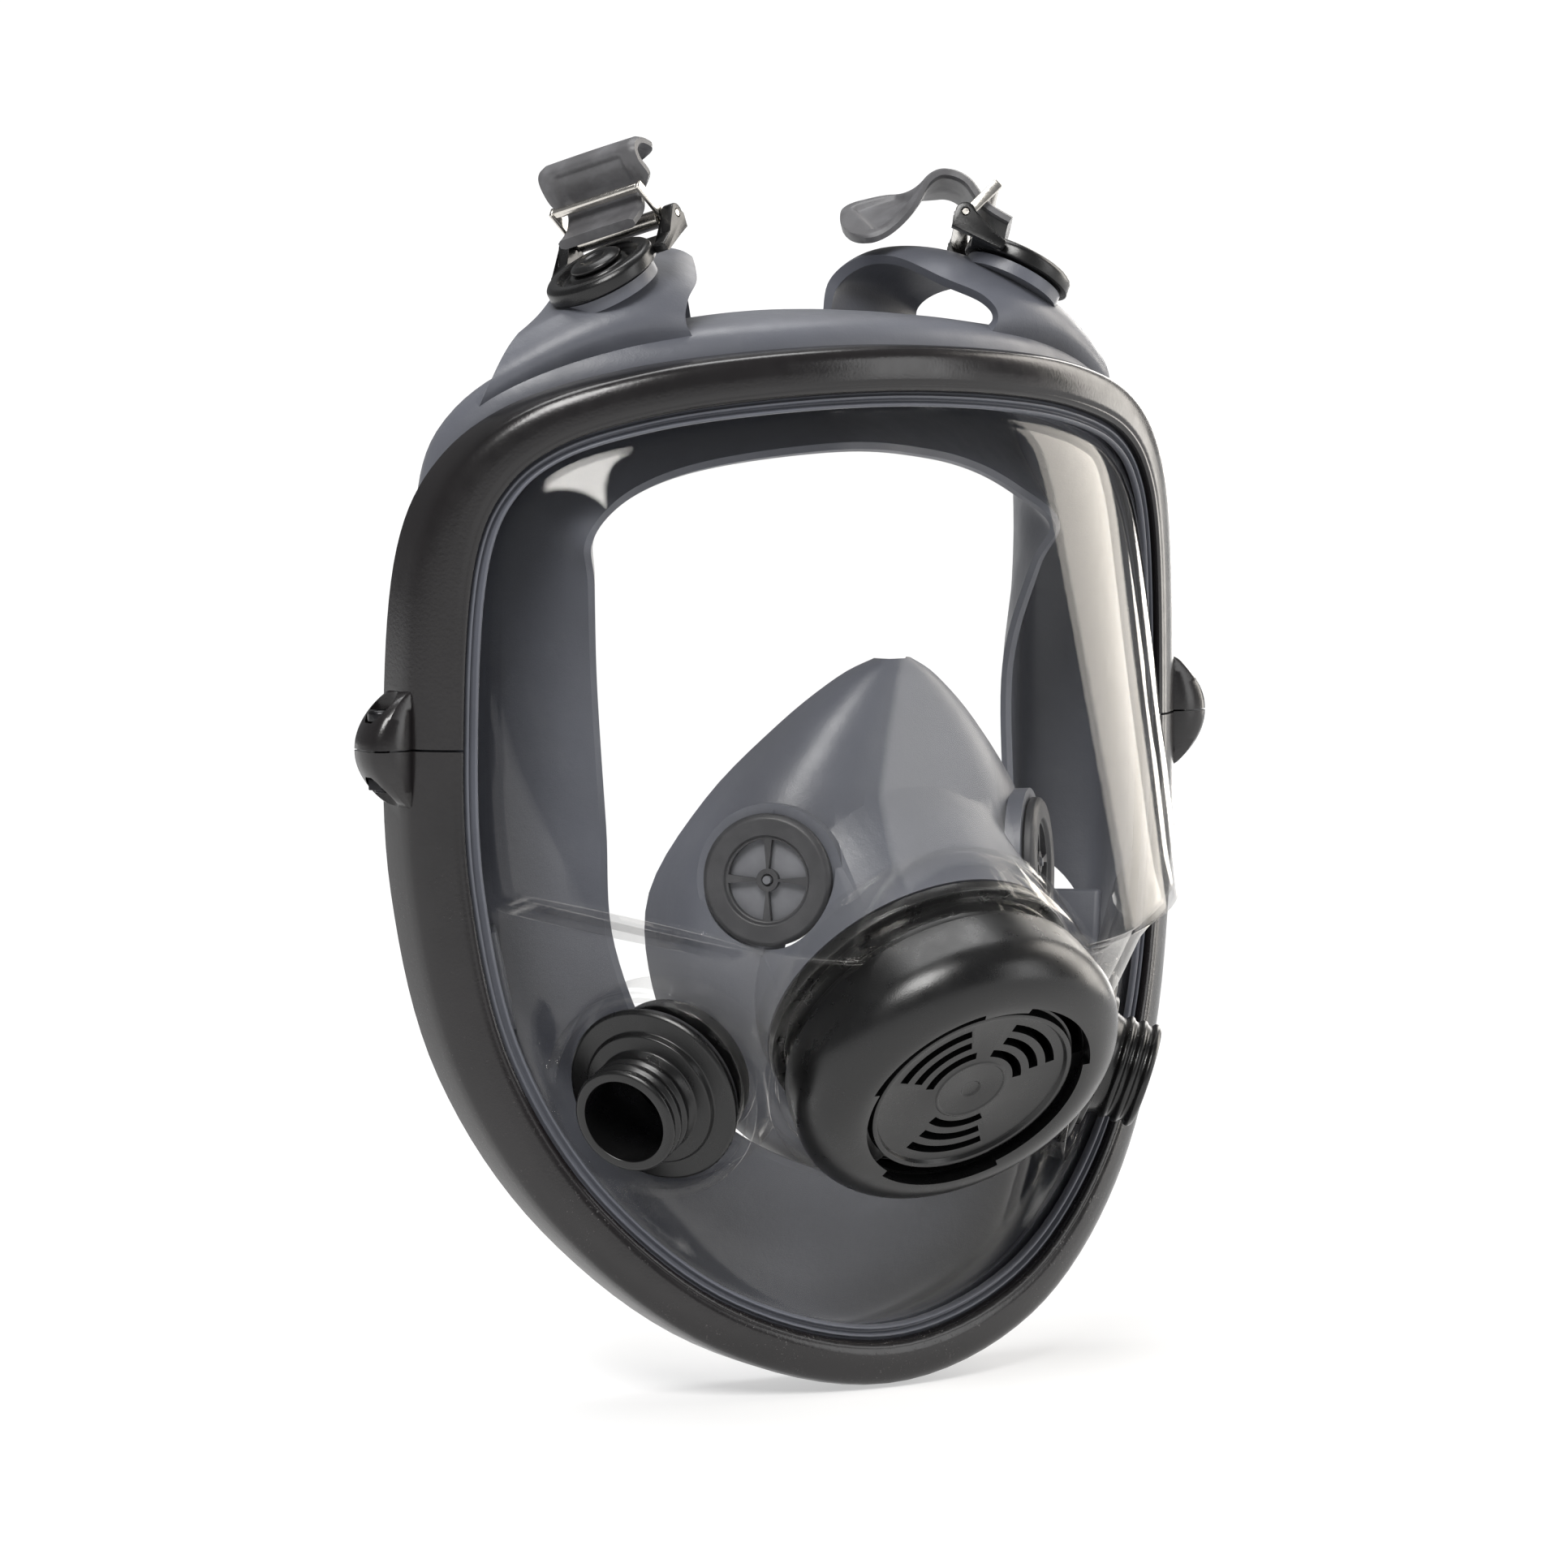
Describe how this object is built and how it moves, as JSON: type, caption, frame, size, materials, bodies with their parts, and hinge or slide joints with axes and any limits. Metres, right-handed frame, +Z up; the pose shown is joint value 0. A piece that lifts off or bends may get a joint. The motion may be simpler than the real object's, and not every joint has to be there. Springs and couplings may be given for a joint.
{
  "type": "full face respirator",
  "caption": "Full face respirator mask with a clear stepped lens, soft face seal, inner nose cup, side inlets, front exhalation and speech unit, and strap buckles.",
  "frame": {"origin": "inside the mask on its middle plane, level with the wearer's cheekbones and just behind the front plane of the lens clamp", "axes": "the mask faces -Y and is worn from +Y, +X is to the right of a viewer in front of it, +Z is up"},
  "size_m": [0.2104, 0.1372, 0.2679],
  "materials": {
    "seal_silicone": "satin blue-grey silicone",
    "clear_lens": "clear moulded plastic",
    "clamp_plastic": "near-black semi-gloss",
    "black_plastic": "satin black",
    "gasket_rubber": "matte dark rubber",
    "flap_silicone": "thin satin silicone",
    "black_steel": "black oxide",
    "steel": "bright stainless steel",
    "strap_rubber": "satin grey rubber"
  },
  "bodies": {
    "mask_body": {"clamp_nut_left": "black_steel", "clamp_nut_right": "black_steel", "clamp_screw_left": "black_steel", "clamp_screw_right": "black_steel", "cup_valve_ring_left": "gasket_rubber", "cup_valve_ring_right": "gasket_rubber", "exhalation_housing": "black_plastic", "exhalation_valve_seat": "black_plastic", "face_seal": "seal_silicone", "housing_nut": "black_plastic", "inhalation_seat_left": "black_plastic", "inhalation_seat_right": "black_plastic", "inlet_connector_left": "black_plastic", "inlet_connector_right": "black_plastic", "inlet_gasket_left": "gasket_rubber", "inlet_gasket_right": "gasket_rubber", "inlet_nut_left": "black_plastic", "inlet_nut_right": "black_plastic", "lower_buckle_left_stud": "black_plastic", "lower_buckle_right_stud": "black_plastic", "lower_lens_clamp": "clamp_plastic", "nose_cup": "seal_silicone", "speech_diaphragm": "steel", "speech_frame": "black_plastic", "upper_buckle_left_stud": "black_plastic", "upper_buckle_right_stud": "black_plastic", "upper_lens_clamp": "clamp_plastic", "visor_lens": "clear_lens"},
    "front_cover": {"front_cover": "black_plastic"},
    "exhalation_flap": {"exhalation_flap": "flap_silicone"},
    "inhalation_flap_right": {"inhalation_flap_right": "flap_silicone"},
    "cup_valve_flap_right": {"cup_valve_flap_right": "flap_silicone"},
    "inhalation_flap_left": {"inhalation_flap_left": "flap_silicone"},
    "cup_valve_flap_left": {"cup_valve_flap_left": "flap_silicone"},
    "upper_buckle_right_base": {"upper_buckle_right_base": "black_plastic"},
    "upper_buckle_right_frame": {"upper_buckle_right_frame": "steel", "upper_strap_right": "strap_rubber"},
    "upper_buckle_right_roller": {"upper_buckle_right_roller": "steel"},
    "upper_buckle_left_base": {"upper_buckle_left_base": "black_plastic"},
    "upper_buckle_left_frame": {"upper_buckle_left_frame": "steel", "upper_strap_left": "strap_rubber"},
    "upper_buckle_left_roller": {"upper_buckle_left_roller": "steel"},
    "lower_buckle_right_base": {"lower_buckle_right_base": "black_plastic"},
    "lower_buckle_right_frame": {"lower_buckle_right_frame": "steel"},
    "lower_buckle_right_roller": {"lower_buckle_right_roller": "steel"},
    "lower_buckle_left_base": {"lower_buckle_left_base": "black_plastic"},
    "lower_buckle_left_frame": {"lower_buckle_left_frame": "steel"},
    "lower_buckle_left_roller": {"lower_buckle_left_roller": "steel"}
  },
  "joints": [
    {"name": "cover_twist", "type": "hinge", "parent": "mask_body", "child": "front_cover", "pos_m": [0, -0.0215, -0.039], "axis": [0, -0.7771, -0.6293], "range_deg": [0, 30]},
    {"name": "exhalation_flap_lift", "type": "slide", "parent": "mask_body", "child": "exhalation_flap", "axis": [0, -0.7771, -0.6293], "range_m": [0, 0.0015], "stiffness_N_per_m": 40, "springref_m": -0.001},
    {"name": "inhalation_flap_right_lift", "type": "slide", "parent": "mask_body", "child": "inhalation_flap_right", "axis": [-0.8148, 0.4899, 0.3099], "range_m": [0, 0.0012], "stiffness_N_per_m": 30, "springref_m": -0.0006},
    {"name": "cup_valve_flap_right_lift", "type": "slide", "parent": "mask_body", "child": "cup_valve_flap_right", "axis": [-0.7404, 0.6703, -0.05], "range_m": [0, 0.0012], "stiffness_N_per_m": 30, "springref_m": -0.0006},
    {"name": "inhalation_flap_left_lift", "type": "slide", "parent": "mask_body", "child": "inhalation_flap_left", "axis": [0.8148, 0.4899, 0.3099], "range_m": [0, 0.0012], "stiffness_N_per_m": 30, "springref_m": -0.0006},
    {"name": "cup_valve_flap_left_lift", "type": "slide", "parent": "mask_body", "child": "cup_valve_flap_left", "axis": [0.7404, 0.6703, -0.05], "range_m": [0, 0.0012], "stiffness_N_per_m": 30, "springref_m": -0.0006},
    {"name": "upper_buckle_right_swivel", "type": "hinge", "parent": "mask_body", "child": "upper_buckle_right_base", "pos_m": [0.0514, 0.0353, 0.1236], "axis": [0.5, 0, 0.866], "range_deg": [-8, 8]},
    {"name": "upper_buckle_right_frame_tilt", "type": "hinge", "parent": "upper_buckle_right_base", "child": "upper_buckle_right_frame", "pos_m": [0.04307, 0.0434, 0.13395], "axis": [0.4739, 0.837, -0.2736], "range_deg": [-4, 6]},
    {"name": "upper_buckle_right_roller_spin", "type": "hinge", "parent": "upper_buckle_right_frame", "child": "upper_buckle_right_roller", "pos_m": [0.04307, 0.0434, 0.13395], "axis": [0.4739, 0.837, -0.2736], "continuous": true},
    {"name": "upper_buckle_left_swivel", "type": "hinge", "parent": "mask_body", "child": "upper_buckle_left_base", "pos_m": [-0.0514, 0.0353, 0.1236], "axis": [-0.5, 0, 0.866], "range_deg": [-8, 8]},
    {"name": "upper_buckle_left_frame_tilt", "type": "hinge", "parent": "upper_buckle_left_base", "child": "upper_buckle_left_frame", "pos_m": [-0.04307, 0.0434, 0.13395], "axis": [0.4739, -0.837, 0.2736], "range_deg": [-4, 6]},
    {"name": "upper_buckle_left_roller_spin", "type": "hinge", "parent": "upper_buckle_left_frame", "child": "upper_buckle_left_roller", "pos_m": [-0.04307, 0.0434, 0.13395], "axis": [0.4739, -0.837, 0.2736], "continuous": true},
    {"name": "lower_buckle_right_swivel", "type": "hinge", "parent": "mask_body", "child": "lower_buckle_right_base", "pos_m": [0.061, 0.068, -0.026], "axis": [0.8703, 0.4501, -0.2001], "range_deg": [-30, 30]},
    {"name": "lower_buckle_right_frame_tilt", "type": "hinge", "parent": "lower_buckle_right_base", "child": "lower_buckle_right_frame", "pos_m": [0.05826, 0.08322, -0.02768], "axis": [-0.1548, -0.1356, -0.9786], "range_deg": [-40, 20]},
    {"name": "lower_buckle_right_roller_spin", "type": "hinge", "parent": "lower_buckle_right_frame", "child": "lower_buckle_right_roller", "pos_m": [0.05826, 0.08322, -0.02768], "axis": [-0.1548, -0.1356, -0.9786], "continuous": true},
    {"name": "lower_buckle_left_swivel", "type": "hinge", "parent": "mask_body", "child": "lower_buckle_left_base", "pos_m": [-0.061, 0.068, -0.026], "axis": [-0.8703, 0.4501, -0.2001], "range_deg": [-30, 30]},
    {"name": "lower_buckle_left_frame_tilt", "type": "hinge", "parent": "lower_buckle_left_base", "child": "lower_buckle_left_frame", "pos_m": [-0.05826, 0.08322, -0.02768], "axis": [-0.1548, 0.1356, 0.9786], "range_deg": [-40, 20]},
    {"name": "lower_buckle_left_roller_spin", "type": "hinge", "parent": "lower_buckle_left_frame", "child": "lower_buckle_left_roller", "pos_m": [-0.05826, 0.08322, -0.02768], "axis": [-0.1548, 0.1356, 0.9786], "continuous": true}
  ]
}
